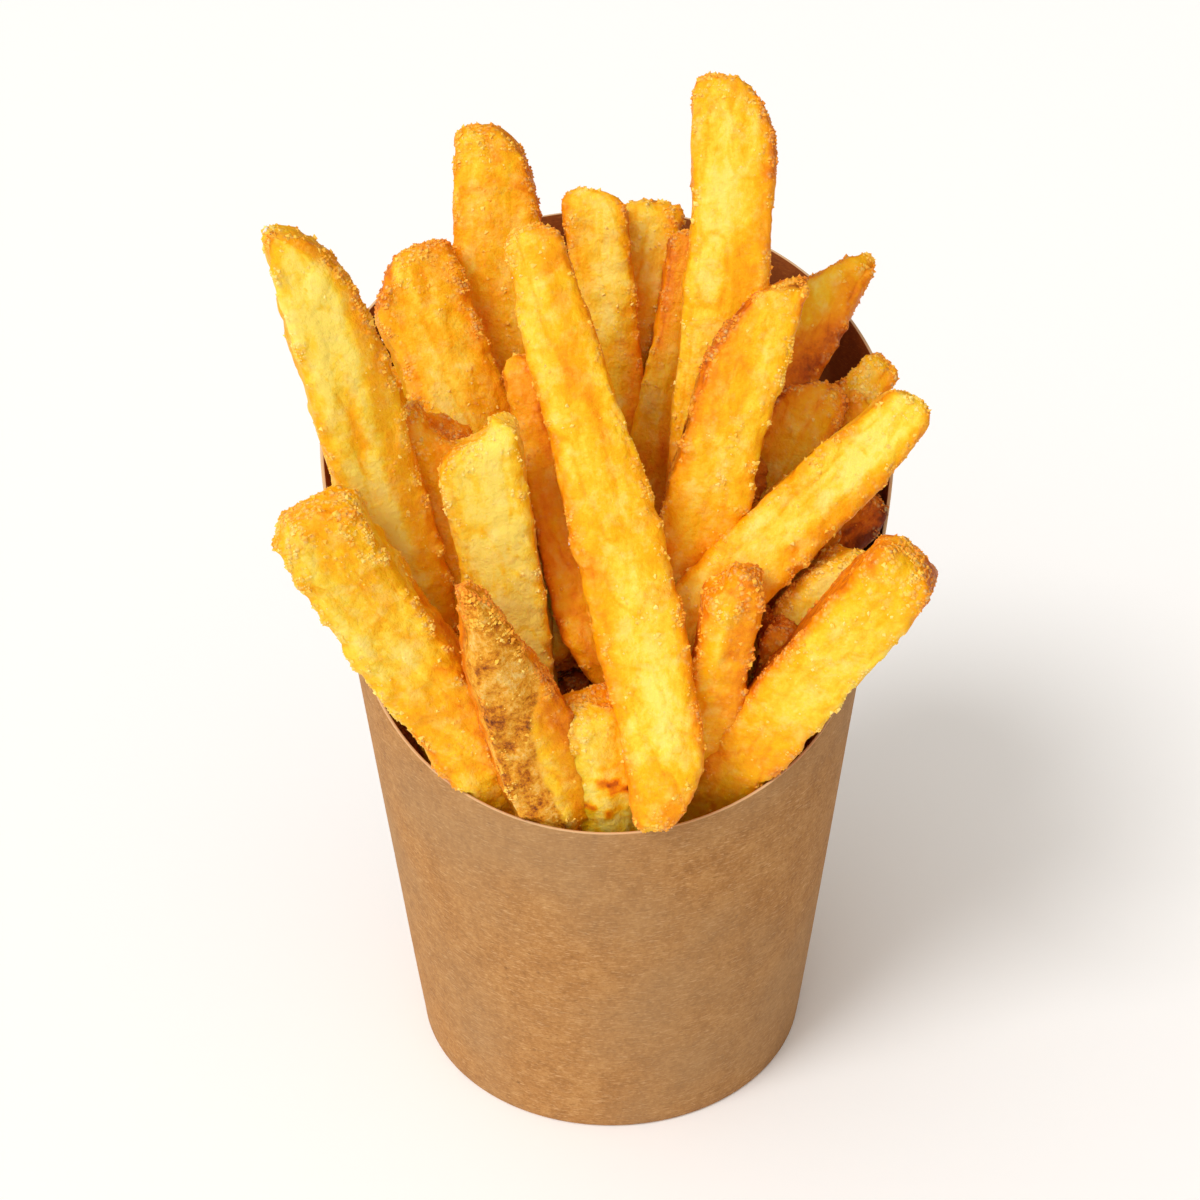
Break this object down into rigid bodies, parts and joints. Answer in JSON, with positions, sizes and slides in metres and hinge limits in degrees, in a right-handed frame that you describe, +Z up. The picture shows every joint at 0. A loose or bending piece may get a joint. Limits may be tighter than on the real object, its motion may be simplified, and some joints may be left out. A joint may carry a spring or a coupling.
{
  "type": "french fries in a paper scoop cup",
  "caption": "Heap of thick-cut french fries standing in a tapered kraft paper cup with a low front lip and a tall scooped back.",
  "frame": {"origin": "on the cup's axis, on the surface that its foot stands on", "axes": "+Z up along the cup's axis; -Y towards the low front lip, the tall back is at +Y; +X to the right seen from the front"},
  "size_m": [0.0874, 0.0855, 0.155],
  "materials": {
    "kraft_board": "uncoated kraft paperboard, matte, fine fibre mottling",
    "kraft_board_inside": "kraft paperboard with a thin grease-proof film, matte",
    "fried_potato": "deep-fried potato with a light batter: golden crisp crust, browned ends, faint oil sheen",
    "potato_skin": "fried potato skin, brown and speckled, satin",
    "salt": "coarse salt grains",
    "crumb": "crisp fried batter crumbs"
  },
  "bodies": {
    "root": {"cup_wall": "kraft_board", "cup_floor": "kraft_board_inside", "fries": "fried_potato"}
  },
  "joints": []
}
